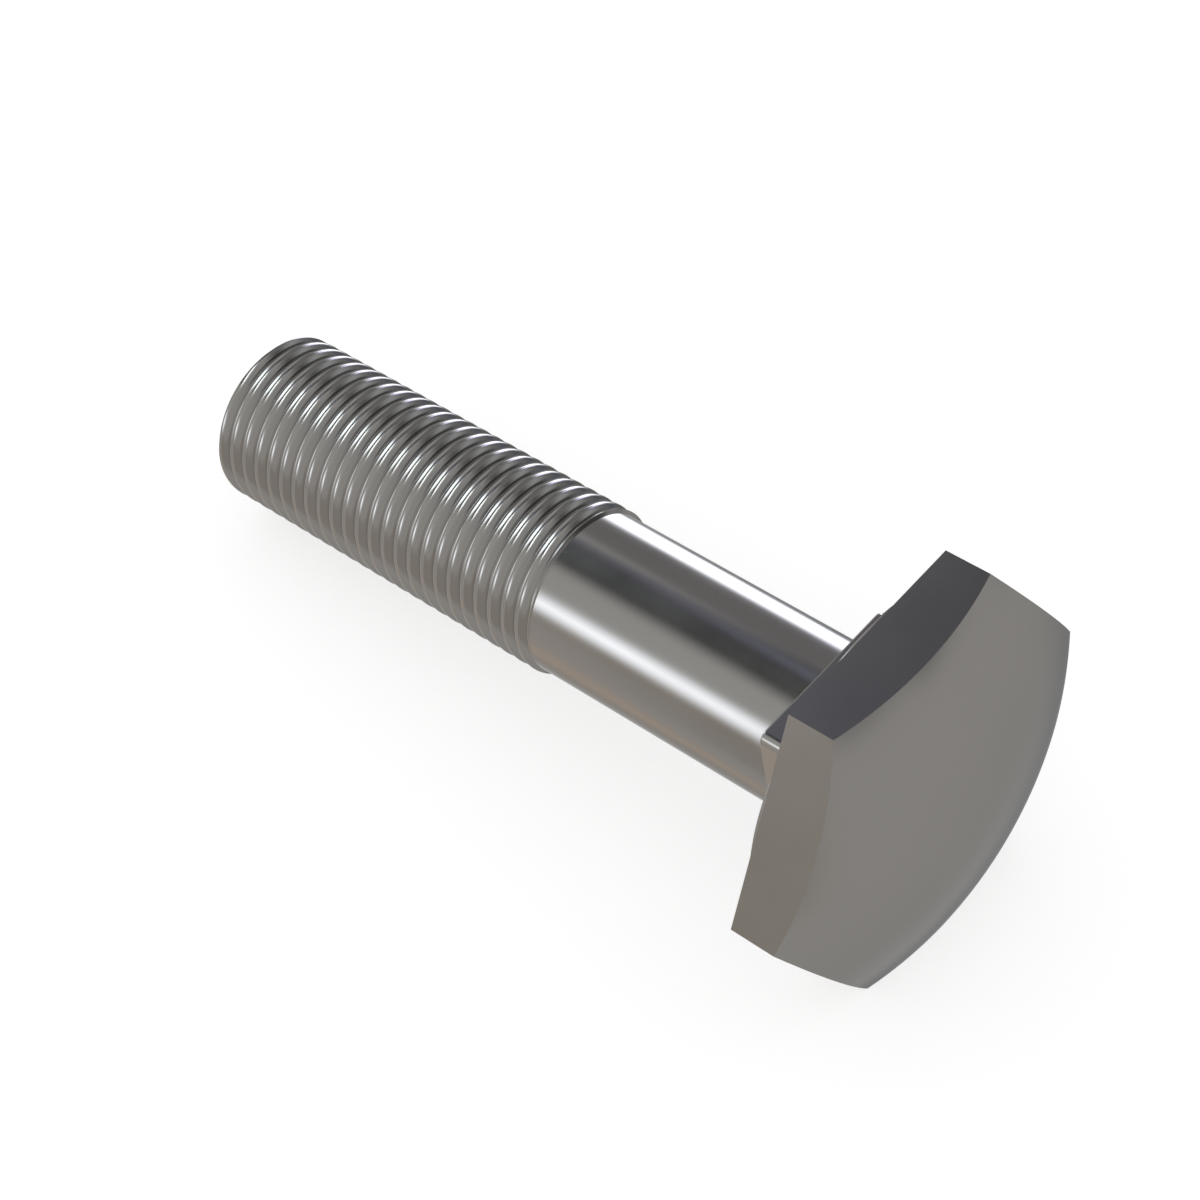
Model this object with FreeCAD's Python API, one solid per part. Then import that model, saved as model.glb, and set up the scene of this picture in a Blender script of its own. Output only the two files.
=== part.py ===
# Hexagon head bolt with a domed top, a bearing disc and a square neck, forged and rolled
# from one bar. Millimetres. The bolt lies as it comes to rest: on the shank-side edge of one
# flat of its head and on the end of its thread, with its axis sloping down to the tip.
# The origin is the centre of the bearing face under the head. +X runs up the axis towards
# the head, +Y is along the flat that the head lies on, and +Z is up.
import FreeCAD, Part
import math
import os

# Threaded end
thread_d = 12.7            # outside diameter over the thread
thread_pitch = 1.27        # one turn of the right-hand thread
thread_length = 30.5       # from the tip to the last full turn by the plain shank
thread_angle = 60.0        # between the two flanks
length = 55.4              # from the bearing face to the tip

# Plain shank, left at about the size the thread is rolled from
shank_d = 12.05

# Head
across_flats = 27.0
head_height = 7.35         # from the underside of the hexagon to the top of the dome
dome_radius = 32.8         # one ball surface cuts the flats in low arcs
disc_d = 26.3              # raised bearing disc under the hexagon
disc_height = 0.5
disc_rim_radius = 0.25     # rounded lower rim of the disc

# Square neck
neck_width = 12.65         # across two opposite flats
neck_length = 4.0          # from the bearing face
neck_corner_radius = 0.7   # along the four upright corners
neck_end_radius = 0.15     # round the end of the neck
neck_root_radius = 0.4     # hollow where the neck meets the bearing face

# The tip is only lightly bevelled, at 45 degrees and a quarter of the pitch deep.
tip_bevel = thread_pitch / 4.0
# The blank widens from the shank to the thread on a slope of one flank.
step = (thread_d - shank_d) / 2.0
step_length = step * math.tan(math.radians(thread_angle / 2.0))

# Slope of the axis at rest. The bolt touches the floor at the flat's lower edge, half the
# width across flats from the axis, and at the thread's last full turn.
rest_drop = across_flats / 2.0 - thread_d / 2.0
rest_run = length - tip_bevel + disc_height
rest_slope = math.degrees(math.atan2(rest_drop, rest_run))

UP = FreeCAD.Vector(0, 0, 1)
ORIGIN = FreeCAD.Vector(0, 0, 0)


def head():
    """Hexagon from its underside to the dome; two of its flats face +X and -X."""
    circle_radius = across_flats / math.sqrt(3.0)
    corners = []
    for i in range(7):
        a = math.radians(30.0 + 60.0 * i)
        corners.append(FreeCAD.Vector(circle_radius * math.cos(a), circle_radius * math.sin(a), disc_height))
    hexagon = Part.Face(Part.makePolygon(corners)).extrude(UP * (head_height + dome_radius / 10.0))
    top = disc_height + head_height
    ball = Part.makeSphere(dome_radius, FreeCAD.Vector(0, 0, top - dome_radius))
    return hexagon.common(ball)


def disc():
    """Raised bearing disc, its lower rim rounded."""
    plate = Part.makeCylinder(disc_d / 2.0, 2.0 * disc_height, ORIGIN)
    return plate.makeFillet(disc_rim_radius, round_edges(plate, 0.0))


def round_edges(shape, height):
    """Closed circular edges that lie at one height."""
    found = []
    for edge in shape.Edges:
        box = edge.BoundBox
        if abs(box.ZMin - height) < 1e-6 and abs(box.ZMax - height) < 1e-6:
            found.append(edge)
    return found


def neck():
    """Square neck with rounded corners and a rounded end; it starts inside the head."""
    half = neck_width / 2.0
    block = Part.makeBox(neck_width, neck_width, neck_length + disc_height,
                         FreeCAD.Vector(-half, -half, -neck_length))
    upright = [e for e in block.Edges if e.BoundBox.ZLength > neck_length]
    block = block.makeFillet(neck_corner_radius, upright)
    return block.makeFillet(neck_end_radius, round_edges(block, -neck_length))


def stem():
    """Plain shank and thread blank, with the bevelled tip, in one turned shape."""
    shank_r = shank_d / 2.0
    thread_r = thread_d / 2.0
    thread_top = -(length - thread_length)
    outline = [
        (0.0, disc_height),
        (shank_r, disc_height),
        (shank_r, thread_top),
        (thread_r, thread_top - step_length),
        (thread_r, -(length - tip_bevel)),
        (thread_r - tip_bevel, -length),
        (0.0, -length),
        (0.0, disc_height),
    ]
    points = [FreeCAD.Vector(r, 0, z) for r, z in outline]
    return Part.Face(Part.makePolygon(points)).revolve(ORIGIN, UP, 360)


def root_edges(shape):
    """Edges where the neck stands on the bearing face."""
    reach = neck_width / 2.0 + 1e-3
    found = []
    for edge in round_edges(shape, 0.0):
        box = edge.BoundBox
        if max(abs(box.XMin), abs(box.XMax), abs(box.YMin), abs(box.YMax)) < reach:
            found.append(edge)
    return found


def bolt():
    """The whole bolt, upright with its head at the top."""
    collar = disc().fuse(neck())
    collar = collar.makeFillet(neck_root_radius, root_edges(collar))
    return head().fuse([collar, stem()]).removeSplitter()


def at_rest(shape):
    """Lay the upright bolt down: its axis then rises towards the head by the rest slope."""
    shape.rotate(ORIGIN, FreeCAD.Vector(0, 1, 0), 90.0 - rest_slope)
    return shape


os.makedirs("parts", exist_ok=True)
part = at_rest(bolt())
part.exportStep("parts/bolt.step")
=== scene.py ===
import bmesh
import bpy
import math
from mathutils import Matrix, Vector


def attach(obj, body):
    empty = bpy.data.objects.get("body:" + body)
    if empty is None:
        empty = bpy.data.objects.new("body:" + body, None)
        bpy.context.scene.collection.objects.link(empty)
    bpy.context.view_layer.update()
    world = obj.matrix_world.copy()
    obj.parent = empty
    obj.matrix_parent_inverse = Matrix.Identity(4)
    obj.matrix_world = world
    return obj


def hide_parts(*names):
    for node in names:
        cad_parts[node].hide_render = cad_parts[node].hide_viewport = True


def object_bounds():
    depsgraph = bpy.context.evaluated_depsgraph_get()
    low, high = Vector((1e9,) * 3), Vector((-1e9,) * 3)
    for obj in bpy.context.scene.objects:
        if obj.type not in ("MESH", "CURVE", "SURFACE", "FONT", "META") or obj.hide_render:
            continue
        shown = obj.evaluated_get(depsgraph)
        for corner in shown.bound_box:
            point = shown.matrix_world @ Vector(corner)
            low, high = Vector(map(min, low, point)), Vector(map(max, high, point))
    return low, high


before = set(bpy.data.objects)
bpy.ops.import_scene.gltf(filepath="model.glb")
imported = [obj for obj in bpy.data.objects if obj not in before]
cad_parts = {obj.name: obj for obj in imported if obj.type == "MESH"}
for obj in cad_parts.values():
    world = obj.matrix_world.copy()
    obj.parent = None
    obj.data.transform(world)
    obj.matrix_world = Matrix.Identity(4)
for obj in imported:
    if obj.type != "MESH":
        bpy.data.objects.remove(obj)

solid_box = [list(corner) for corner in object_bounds()]


# The head: a forged hexagon under a shallow dome. The dome is one ball surface, so it cuts
# the six flats in low arcs; the underside edge is left sharp. All sizes of the bolt are in
# millimetres while it is shaped upright with its bearing face at zero.
ACROSS_FLATS = 27.0
HEAD_HEIGHT = 7.35
DOME_RADIUS = 32.8
DOME_CUTS = 47
DISC_HEIGHT = 0.5
FACING = 0.9


def nothing_selected():
    if bpy.context.object and bpy.context.object.mode != 'OBJECT':
        bpy.ops.object.mode_set(mode='OBJECT')
    bpy.ops.object.select_all(action='DESELECT')


def pick(piece, kind, wanted):
    """Goes into edit mode with only the wanted faces or edges of the piece selected."""
    bpy.ops.object.mode_set(mode='EDIT')
    bpy.ops.mesh.select_mode(type=kind)
    bpy.ops.mesh.select_all(action='DESELECT')
    skin = bmesh.from_edit_mesh(piece.data)
    for part in (skin.faces if kind == 'FACE' else skin.edges):
        if wanted(part):
            part.select_set(True)
    bmesh.update_edit_mesh(piece.data)


def faces_up(face):
    return face.normal.z > FACING


nothing_selected()
top_of_dome = DISC_HEIGHT + HEAD_HEIGHT
bpy.ops.mesh.primitive_cylinder_add(
    vertices=6, radius=ACROSS_FLATS / math.sqrt(3.0), depth=HEAD_HEIGHT,
    location=(0, 0, DISC_HEIGHT + HEAD_HEIGHT / 2), end_fill_type='TRIFAN')
head = bpy.context.object
bpy.ops.object.transform_apply(location=True)
pick(head, 'FACE', faces_up)
bpy.ops.mesh.subdivide(number_cuts=DOME_CUTS)
bpy.ops.object.mode_set(mode='OBJECT')
for point in head.data.vertices:
    if point.co.z > DISC_HEIGHT + HEAD_HEIGHT / 2:
        off_axis = math.hypot(point.co.x, point.co.y)
        point.co.z = top_of_dome - DOME_RADIUS + math.sqrt(DOME_RADIUS ** 2 - off_axis ** 2)
head.name = "steel_bolt"


# The bearing disc and the square neck: the disc stands a little proud under the hexagon.
# The neck has rounded corners, a small hollow where it meets the disc and a rounded end.
DISC_WIDTH = 26.3
DISC_RIM = 0.25
NECK_WIDTH = 12.65
NECK_LENGTH = 4.0
NECK_CORNER = 0.7
NECK_ROOT = 0.4
NECK_END = 0.15
BURIED = 1.0
ROUND_SIDES = 192
CORNER_STEPS = 8
HOLLOW_STEPS = 6
RIM_STEPS = 4


def faces_down(face):
    return face.normal.z < -FACING


def step_in(sideways, down):
    """Insets the selected end face by one step and moves it out along its normal."""
    bpy.ops.mesh.inset(thickness=sideways, depth=down, use_even_offset=True)


def quarter_steps(radius, steps, hollow):
    """Sideways and downward steps along a quarter round, hollow or full."""
    for i in range(steps):
        a, b = (math.pi / 2 * k / steps for k in (i, i + 1))
        slow = radius * (math.cos(a) - math.cos(b))
        fast = radius * (math.sin(b) - math.sin(a))
        yield (fast, slow) if hollow else (slow, fast)


nothing_selected()
bpy.ops.mesh.primitive_cylinder_add(
    vertices=ROUND_SIDES, radius=DISC_WIDTH / 2, depth=DISC_HEIGHT - DISC_RIM + BURIED,
    location=(0, 0, (BURIED + DISC_HEIGHT + DISC_RIM) / 2))
disc = bpy.context.object
bpy.ops.object.transform_apply(location=True)
pick(disc, 'FACE', faces_down)
for sideways, down in quarter_steps(DISC_RIM, RIM_STEPS, hollow=False):
    step_in(sideways, down)

nothing_selected()
root_width = NECK_WIDTH + 2 * NECK_ROOT
bpy.ops.mesh.primitive_cube_add(
    size=1, location=(0, 0, BURIED / 2), scale=(root_width, root_width, BURIED))
neck = bpy.context.object
bpy.ops.object.transform_apply(location=True, scale=True)
pick(neck, 'EDGE', lambda edge: abs(edge.verts[0].co.z - edge.verts[1].co.z) > BURIED / 2)
bpy.ops.mesh.bevel(
    offset=NECK_CORNER + NECK_ROOT, offset_type='OFFSET', segments=CORNER_STEPS, profile=0.5)
pick(neck, 'FACE', faces_down)
for sideways, down in quarter_steps(NECK_ROOT, HOLLOW_STEPS, hollow=True):
    step_in(sideways, down)
bpy.ops.mesh.extrude_region_move(
    TRANSFORM_OT_translate={"value": (0, 0, -(NECK_LENGTH - NECK_ROOT - NECK_END))})
for sideways, down in quarter_steps(NECK_END, RIM_STEPS, hollow=False):
    step_in(sideways, down)


# The shank and the thread: a bar with a fine right-hand thread rolled on its end, 60 degrees
# between the flanks, crests and roots rounded. The thread starts at a low shoulder on the
# plain shank and its tip is lightly bevelled at 45 degrees. The start turn sets its crests
# where the photograph shows them.
LENGTH = 55.4
SHANK_WIDTH = 12.05
THREAD_WIDTH = 12.7
THREAD_LENGTH = 30.5
PITCH = 1.27
FLANK = math.radians(30.0)
START_TURN = math.radians(113.4)
WINDING_STEPS = 128
SPARE_TURNS = 2
BURIED_TURNS = 1.5
WINDING_WELD = 1e-3
TURNED_WELD = 1e-4
BLANK_SIDES = 170
CLEAR = 0.05

# The crest is a wide round, eased by a smaller one into the flank; the root is a tight round.
CREST_RADIUS = 0.65
CREST_LEAN = math.radians(51.0)
CREST_STEPS = 5
EDGE_RADIUS = 0.11
EDGE_STEPS = 2
ROOT_RADIUS = 0.05
ROOT_STEPS = 3


def round_off(outline, radius, lean_from, lean_to, steps):
    """Continues an outline of (depth, height) by an arc; a lean is the surface's tilt."""
    depth, height = outline[-1]
    for i in range(1, steps + 1):
        lean = lean_from + (lean_to - lean_from) * i / steps
        outline.append((depth - radius * (math.cos(lean_from) - math.cos(lean)),
                        height + radius * (math.sin(lean) - math.sin(lean_from))))


half_ridge = [(0.0, 0.0)]
steep = math.pi / 2 - FLANK
round_off(half_ridge, CREST_RADIUS, 0.0, CREST_LEAN, CREST_STEPS)
round_off(half_ridge, EDGE_RADIUS, CREST_LEAN, steep, EDGE_STEPS)
edge_depth, edge_height = half_ridge[-1]
root_reach = ROOT_RADIUS * math.sin(steep)
flank_run = PITCH / 2 - root_reach - edge_height
half_ridge.append((edge_depth - flank_run / math.tan(FLANK), edge_height + flank_run))
round_off(half_ridge, -ROOT_RADIUS, steep, 0.0, ROOT_STEPS)
thread_depth = -half_ridge[-1][0]
tip_bevel = PITCH / 4
shoulder = (THREAD_WIDTH - SHANK_WIDTH) / 2
shoulder_length = shoulder * math.tan(FLANK)


def take(piece):
    """Takes one piece in hand and nothing else."""
    nothing_selected()
    bpy.context.view_layer.objects.active = piece
    piece.select_set(True)


def outline_piece(name, outline):
    """A piece that is only a line, from its outline of (distance from the axis, height)."""
    mesh = bpy.data.meshes.new(name)
    edges = [(i, i + 1) for i in range(len(outline) - 1)]
    mesh.from_pydata([(r, 0, z) for r, z in outline], edges, [])
    piece = bpy.data.objects.new(name, mesh)
    bpy.context.collection.objects.link(piece)
    take(piece)
    return piece


# one pitch of the thread, root to root, wound up past both ends of the thread
upper = [(THREAD_WIDTH / 2 + depth, height) for depth, height in half_ridge]
lower = [(r, -height) for r, height in reversed(upper)]
thread = outline_piece("thread", lower[:-1] + upper)
turns = math.ceil(THREAD_LENGTH / PITCH) + 2 * SPARE_TURNS
winding = thread.modifiers.new("winding", 'SCREW')
winding.angle = 2 * math.pi
winding.screw_offset = PITCH
winding.iterations = turns
winding.steps = winding.render_steps = WINDING_STEPS
winding.use_merge_vertices = True
bpy.ops.object.modifier_apply(modifier="winding")
thread.rotation_euler = (0, 0, START_TURN)
thread.location.z = -LENGTH - SPARE_TURNS * PITCH
bpy.ops.object.transform_apply(location=True, rotation=True)
bpy.ops.object.mode_set(mode='EDIT')
bpy.ops.mesh.select_all(action='SELECT')
bpy.ops.mesh.remove_doubles(threshold=WINDING_WELD)
bpy.ops.mesh.bisect(
    plane_co=(0, 0, -LENGTH), plane_no=(0, 0, -1), use_fill=True, clear_outer=True)
bpy.ops.mesh.select_all(action='SELECT')
thread_top = THREAD_LENGTH - LENGTH
bpy.ops.mesh.bisect(
    plane_co=(0, 0, thread_top + PITCH), plane_no=(0, 0, 1), use_fill=True, clear_outer=True)
bpy.ops.mesh.select_all(action='SELECT')
bpy.ops.mesh.normals_make_consistent(inside=False)


def turned(name, outline, sides):
    """A closed turned piece from its outline, given from the top of its axis to the foot."""
    piece = outline_piece(name, outline)
    bpy.ops.object.mode_set(mode='EDIT')
    bpy.ops.mesh.select_all(action='SELECT')
    bpy.ops.mesh.spin(steps=sides, angle=2 * math.pi, center=(0, 0, 0), axis=(0, 0, 1))
    bpy.ops.mesh.select_all(action='SELECT')
    bpy.ops.mesh.remove_doubles(threshold=TURNED_WELD)
    bpy.ops.mesh.normals_make_consistent(inside=False)
    bpy.ops.object.mode_set(mode='OBJECT')
    return piece


# the blank trims the thread to its shoulder and bevel; its other sides stand clear of it
wide = THREAD_WIDTH / 2 + CLEAR
clear_rise = CLEAR * math.tan(FLANK)
bevel_end = THREAD_WIDTH / 2 - tip_bevel
blank = turned("blank", [
    (0, thread_top + clear_rise),
    (SHANK_WIDTH / 2 - CLEAR, thread_top + clear_rise),
    (wide, thread_top - shoulder_length - clear_rise),
    (wide, -LENGTH + tip_bevel + CLEAR),
    (bevel_end, -LENGTH),
    (bevel_end - CLEAR, -LENGTH - CLEAR),
    (0, -LENGTH - CLEAR)], BLANK_SIDES)
# the shank runs on for a turn and a half inside the thread, narrowing under its roots
shank_foot = thread_top - BURIED_TURNS * PITCH
shank = turned("shank", [
    (0, BURIED),
    (SHANK_WIDTH / 2, BURIED),
    (SHANK_WIDTH / 2, thread_top - CLEAR),
    (THREAD_WIDTH / 2 - thread_depth - CLEAR, shank_foot),
    (0, shank_foot)], ROUND_SIDES)


# One piece: the thread is trimmed to its blank, and all is joined into one closed skin.
# Then the bolt is laid on the lower edge of one flat and on its thread's end, in metres.
MM = 0.001
JOIN_WELD = 2e-3
SLIVER = 1e-4
SHARP_FROM = math.radians(25.0)


def combine(piece, other, how):
    take(piece)
    cut = piece.modifiers.new("join", 'BOOLEAN')
    cut.operation = how
    cut.solver = 'EXACT'
    cut.object = other
    bpy.ops.object.modifier_apply(modifier="join")
    bpy.data.objects.remove(other, do_unlink=True)


combine(thread, blank, 'INTERSECT')
combine(shank, thread, 'UNION')
combine(neck, shank, 'UNION')
combine(disc, neck, 'UNION')
combine(head, disc, 'UNION')
bpy.ops.object.mode_set(mode='EDIT')
bpy.ops.mesh.select_all(action='SELECT')
bpy.ops.mesh.remove_doubles(threshold=JOIN_WELD)
bpy.ops.mesh.dissolve_degenerate(threshold=SLIVER)
bpy.ops.object.mode_set(mode='OBJECT')

rest_slope = math.atan2((ACROSS_FLATS - THREAD_WIDTH) / 2, LENGTH - tip_bevel + DISC_HEIGHT)
lay_down = Matrix.Rotation(math.pi / 2 - rest_slope, 4, 'Y') @ Matrix.Scale(MM, 4)
head.data.transform(lay_down)
take(head)
bpy.ops.object.shade_smooth_by_angle(angle=SHARP_FROM)
even = head.modifiers.new("even", 'WEIGHTED_NORMAL')
even.keep_sharp = True
bpy.ops.object.modifier_apply(modifier="even")


# The steel is plain, bright and uncoated: rolled and forged smooth, with a faint unevenness
# of tone and gloss. It is a mid grey, a little warm. The roots of the thread are painted a
# darker steel colour, as painted shade in the grooves.
STEEL_COLOUR = (0.270, 0.257, 0.240, 1)
STEEL_DEEPER = (0.254, 0.243, 0.229, 1)
STEEL_EDGE_TINT = (0.64, 0.64, 0.64, 1)
STEEL_ROUGHNESS = 0.17
UNEVEN_GLOSS = 0.015
CLOUD_SCALE = 160.0
CLOUD_DETAIL = 3.0
CLOUD_DARK = 0.3
CLOUD_PALE = 0.7
# painted shade: the darker colour painted into the roots of the thread
ROOT_SHADE_COLOUR = (0.205, 0.198, 0.187, 1)
ROOT_SHADE_FULL = 5.97
ROOT_SHADE_GONE = 6.12


def give(socket, value):
    """Links a node's result to a socket, or sets the socket to a plain value."""
    if isinstance(value, bpy.types.NodeSocket):
        links.new(value, socket)
    else:
        socket.default_value = value


def maths(operation, *values, kind="ShaderNodeMath", result="Value"):
    """Adds one maths node to the material or world in hand and gives its result."""
    node = nodes.new(kind)
    node.operation = operation
    for socket, value in zip(node.inputs, values):
        give(socket, value)
    return node.outputs[result]


def lay_over(under, over, cover):
    """Lays one colour over another, as far as cover says."""
    node = nodes.new("ShaderNodeMix")
    node.data_type = 'RGBA'
    give(node.inputs["A"], under)
    give(node.inputs["B"], over)
    give(node.inputs["Factor"], cover)
    return node.outputs["Result"]


steel = bpy.data.materials.new("steel")
steel.use_nodes = True
nodes, links = steel.node_tree.nodes, steel.node_tree.links
shader = nodes["Principled BSDF"]
shader.inputs["Metallic"].default_value = 1.0
shader.inputs["Specular Tint"].default_value = STEEL_EDGE_TINT
place = nodes.new("ShaderNodeTexCoord")
clouds = nodes.new("ShaderNodeTexNoise")
clouds.inputs["Scale"].default_value = CLOUD_SCALE
clouds.inputs["Detail"].default_value = CLOUD_DETAIL
links.new(place.outputs["Object"], clouds.inputs["Vector"])
tone = lay_over(STEEL_DEEPER, STEEL_COLOUR, clouds.outputs["Fac"])

# the painted shade lies where the thread is nearest to the bolt's axis, and not on the tip's
# end
spot = place.outputs["Object"]
axis = Vector((math.cos(rest_slope), 0, math.sin(rest_slope)))
vector_maths = "ShaderNodeVectorMath"
across = maths('CROSS_PRODUCT', spot, axis, kind=vector_maths, result="Vector")
from_axis = maths('LENGTH', across, kind=vector_maths)
along = maths('DOT_PRODUCT', spot, axis, kind=vector_maths)
# the painted shade is full in the roots and fades out towards the crests
root_shade = nodes.new("ShaderNodeMapRange")
root_shade.inputs["From Min"].default_value = ROOT_SHADE_GONE * MM
root_shade.inputs["From Max"].default_value = ROOT_SHADE_FULL * MM
links.new(from_axis, root_shade.inputs["Value"])
past_shank = maths('LESS_THAN', along, (thread_top - shoulder_length) * MM)
before_tip = maths('GREATER_THAN', along, (tip_bevel / 2 - LENGTH) * MM)
cover = maths('MULTIPLY', root_shade.outputs["Result"], maths('MULTIPLY', past_shank, before_tip))
links.new(lay_over(tone, ROOT_SHADE_COLOUR, cover), shader.inputs["Base Color"])

gloss = nodes.new("ShaderNodeMapRange")
gloss.inputs["From Min"].default_value = CLOUD_DARK
gloss.inputs["From Max"].default_value = CLOUD_PALE
gloss.inputs["To Min"].default_value = STEEL_ROUGHNESS - UNEVEN_GLOSS
gloss.inputs["To Max"].default_value = STEEL_ROUGHNESS + UNEVEN_GLOSS
links.new(clouds.outputs["Fac"], gloss.inputs["Value"])
links.new(gloss.outputs["Result"], shader.inputs["Roughness"])
head.data.materials.clear()
head.data.materials.append(steel)
head.visible_glossy = False
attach(head, "root")
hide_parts("bolt")


# The camera looks down on the bolt from beside its head, as in the photograph.
EYE = (0.059767, -0.08585, 0.164203)
LOOKS_AT = (-0.023483, -0.000235, -0.002596)
LENS = 90.4386
SENSOR = 36.0
ROLL = 4.456
NEAREST = 0.005
FARTHEST = 20.0

eye, target = Vector(EYE), Vector(LOOKS_AT)
camera_data = bpy.data.cameras.new("camera")
camera_data.lens = LENS
camera_data.sensor_width = SENSOR
camera_data.clip_start = NEAREST
camera_data.clip_end = FARTHEST
camera = bpy.data.objects.new("camera", camera_data)
bpy.context.collection.objects.link(camera)
facing = (target - eye).to_track_quat('-Z', 'Y').to_matrix().to_4x4()
roll = Matrix.Rotation(math.radians(-ROLL), 4, 'Z')
camera.matrix_world = Matrix.Translation(eye) @ facing @ roll
bpy.context.scene.camera = camera


# The floor is plain and white. To the camera it is as white as the backdrop, less the soft
# shadow that the bolt leaves on it.
FLOOR_LEVEL = solid_box[0][2]
FLOOR_SIZE = 6.0
FLOOR_ALBEDO = 0.8
FLOOR_ROUGHNESS = 0.9
FLOOR_LIFT = 0.65

nothing_selected()
bpy.ops.mesh.primitive_plane_add(size=FLOOR_SIZE, location=(0, 0, FLOOR_LEVEL))
floor = bpy.context.object
floor.name = "floor"
white = bpy.data.materials.new("floor_white")
white.use_nodes = True
nodes, links = white.node_tree.nodes, white.node_tree.links
shader = nodes["Principled BSDF"]
shader.inputs["Base Color"].default_value = (FLOOR_ALBEDO, FLOOR_ALBEDO, FLOOR_ALBEDO, 1)
shader.inputs["Roughness"].default_value = FLOOR_ROUGHNESS
shader.inputs["Specular IOR Level"].default_value = 0.0
shader.inputs["Emission Color"].default_value = (1, 1, 1, 1)
rays = nodes.new("ShaderNodeLightPath")
lift = maths('MULTIPLY', rays.outputs["Is Camera Ray"], FLOOR_LIFT)
links.new(lift, shader.inputs["Emission Strength"])
floor.data.materials.append(white)
floor.visible_glossy = False


# The studio round the bolt: a white backdrop for the camera, and for the metal a pale room
# with a dark side wall, dim corners and soft white lamps. Panels are placed by compass and
# height, in degrees. Each one gives its compass, height, half width, half height, soft edge
# and colour, and a lamp its strength too.
PALE = 0.86
BACKDROP_LIGHT = 0.5

world = bpy.data.worlds.new("studio")
bpy.context.scene.world = world
world.use_nodes = True
nodes, links = world.node_tree.nodes, world.node_tree.links
nodes.clear()
where = nodes.new("ShaderNodeTexCoord")


def within(value, half, edge):
    """One within half of zero, falling softly to nothing over edge, both in degrees."""
    node = nodes.new("ShaderNodeMapRange")
    node.interpolation_type = 'SMOOTHSTEP'
    links.new(maths('ABSOLUTE', value), node.inputs["Value"])
    node.inputs["From Min"].default_value = math.radians(half + edge / 2)
    node.inputs["From Max"].default_value = math.radians(half - edge / 2)
    return node.outputs["Result"]


split = nodes.new("ShaderNodeSeparateXYZ")
links.new(where.outputs["Generated"], split.inputs["Vector"])
height = maths('ARCSINE', split.outputs["Z"])


def soft_panel(under, compass, lift, half_width, half_height, edge, colour, strength=1.0):
    """Lays a soft-edged panel over what is under it; its places and sizes are in degrees."""
    turned_to = nodes.new("ShaderNodeVectorRotate")
    turned_to.rotation_type = 'Z_AXIS'
    turned_to.inputs["Angle"].default_value = -math.radians(compass)
    links.new(where.outputs["Generated"], turned_to.inputs["Vector"])
    ahead = nodes.new("ShaderNodeSeparateXYZ")
    links.new(turned_to.outputs["Vector"], ahead.inputs["Vector"])
    sideways = maths('ARCTAN2', ahead.outputs["Y"], ahead.outputs["X"])
    upward = maths('SUBTRACT', height, math.radians(lift))
    beside = within(sideways, half_width, edge)
    cover = maths('MULTIPLY', beside, within(upward, half_height, edge))
    return lay_over(under, (*(strength * c for c in colour), 1), cover)


pale = nodes.new("ShaderNodeRGB")
pale.outputs["Color"].default_value = (PALE, PALE, PALE, 1)
surroundings = pale.outputs["Color"]
# warm reflected light from low down on the open side
surroundings = soft_panel(surroundings, -62, -18, 56, 19, 10, (0.69, 0.65, 0.61))
surroundings = soft_panel(surroundings, -115, -6, 8, 7, 8, (0.70, 0.66, 0.60))
surroundings = soft_panel(surroundings, -158, -51, 29, 18, 11, (0.93, 0.88, 0.82))
surroundings = soft_panel(surroundings, -127, -20, 5, 17, 10, (1.0, 0.93, 0.89))
surroundings = soft_panel(surroundings, -134, -50, 8, 14, 10, (1.17, 1.01, 0.87))
# dark side wall, from the head round to the back, with a darker corner and a paler patch
surroundings = soft_panel(surroundings, 71, 29, 68, 31, 8, (0.42, 0.42, 0.44))
surroundings = soft_panel(surroundings, 46, 20, 21, 25, 8, (0.11, 0.11, 0.11))
surroundings = soft_panel(surroundings, 77, 22, 26, 10, 26, (0.91, 0.98, 1.02))
# dark corners low down past the tip, and dim ground under the wall
surroundings = soft_panel(surroundings, 147, -32, 16, 18, 14, (0.36, 0.36, 0.36))
surroundings = soft_panel(surroundings, 159, -19, 15, 16, 12, (0.18, 0.18, 0.18))
surroundings = soft_panel(surroundings, 103, -45, 22, 54, 40, (0.37, 0.38, 0.39))
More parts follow.
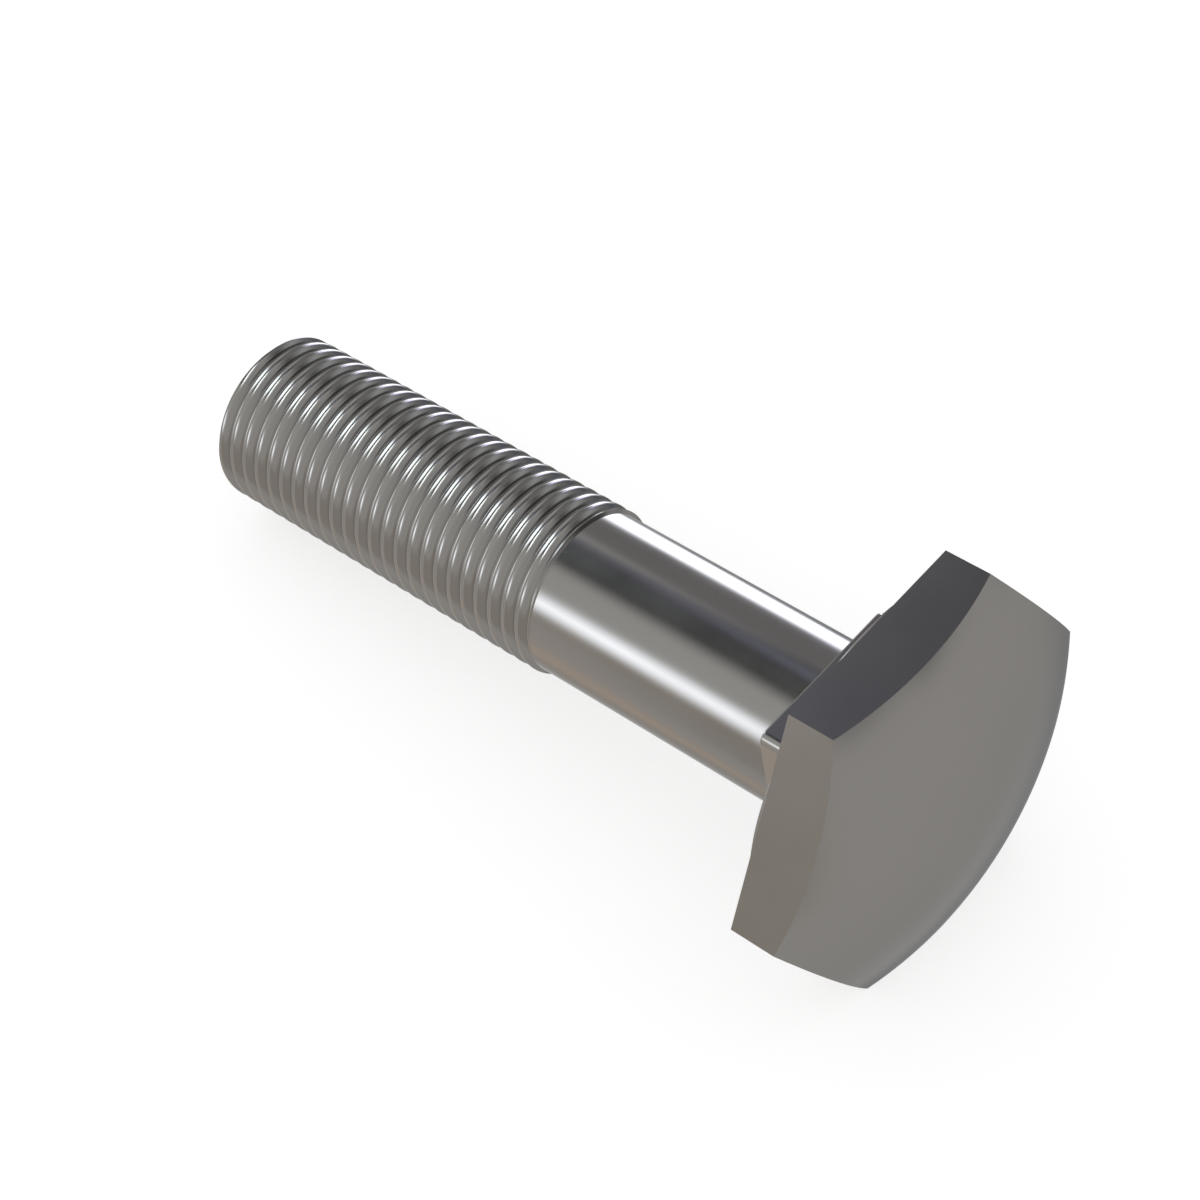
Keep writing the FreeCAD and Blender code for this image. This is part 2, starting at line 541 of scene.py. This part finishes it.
# dark beam high past the tip, a bluish band at the foot of the wall, and a pale ceiling
# with a bluish patch
surroundings = soft_panel(surroundings, 172, 53, 45, 10, 8, (0.05, 0.05, 0.05))
surroundings = soft_panel(surroundings, 79, -10, 23, 7, 13, (0.26, 0.29, 0.37))
surroundings = soft_panel(surroundings, 0, 61, 45, 26, 20, (0.76, 0.79, 0.81))
surroundings = soft_panel(surroundings, 147, 64, 4, 16, 35, (0.84, 0.92, 1.27))
# glow high on the open side, and a bright slit low past the tip
surroundings = soft_panel(surroundings, -126, 31, 34, 21, 22, (0.94, 0.97, 0.98))
surroundings = soft_panel(surroundings, -166, -12, 6, 13, 8, (2.7, 2.8, 2.9))
# white lamps: overhead, on the open side, past the tip, and two low ones on the far side
surroundings = soft_panel(surroundings, -161, 72, 46, 7, 8, (0.92, 1.0, 1.04), 5.3)
surroundings = soft_panel(surroundings, -123, 12, 8, 8, 17, (0.94, 1.0, 1.1), 4.5)
surroundings = soft_panel(surroundings, 176, 27, 11, 16, 10, (0.88, 1.0, 1.1), 5.6)
surroundings = soft_panel(surroundings, 110, 4, 4, 10, 8, (0.97, 1.0, 1.45), 3.6)
surroundings = soft_panel(surroundings, 120, -12, 7, 14, 10, (0.95, 1.0, 1.13), 6.5)

rays = nodes.new("ShaderNodeLightPath")
backdrop = nodes.new("ShaderNodeBackground")
backdrop.inputs["Color"].default_value = (1, 1, 1, 1)
strength = maths('MAXIMUM', rays.outputs["Is Camera Ray"], BACKDROP_LIGHT)
links.new(strength, backdrop.inputs["Strength"])
studio = nodes.new("ShaderNodeBackground")
links.new(surroundings, studio.inputs["Color"])
choose = nodes.new("ShaderNodeMixShader")
links.new(rays.outputs["Is Glossy Ray"], choose.inputs["Fac"])
links.new(backdrop.outputs["Background"], choose.inputs[1])
links.new(studio.outputs["Background"], choose.inputs[2])
shown = nodes.new("ShaderNodeOutputWorld")
links.new(choose.outputs["Shader"], shown.inputs["Surface"])

bpy.context.scene.view_settings.view_transform = 'Standard'
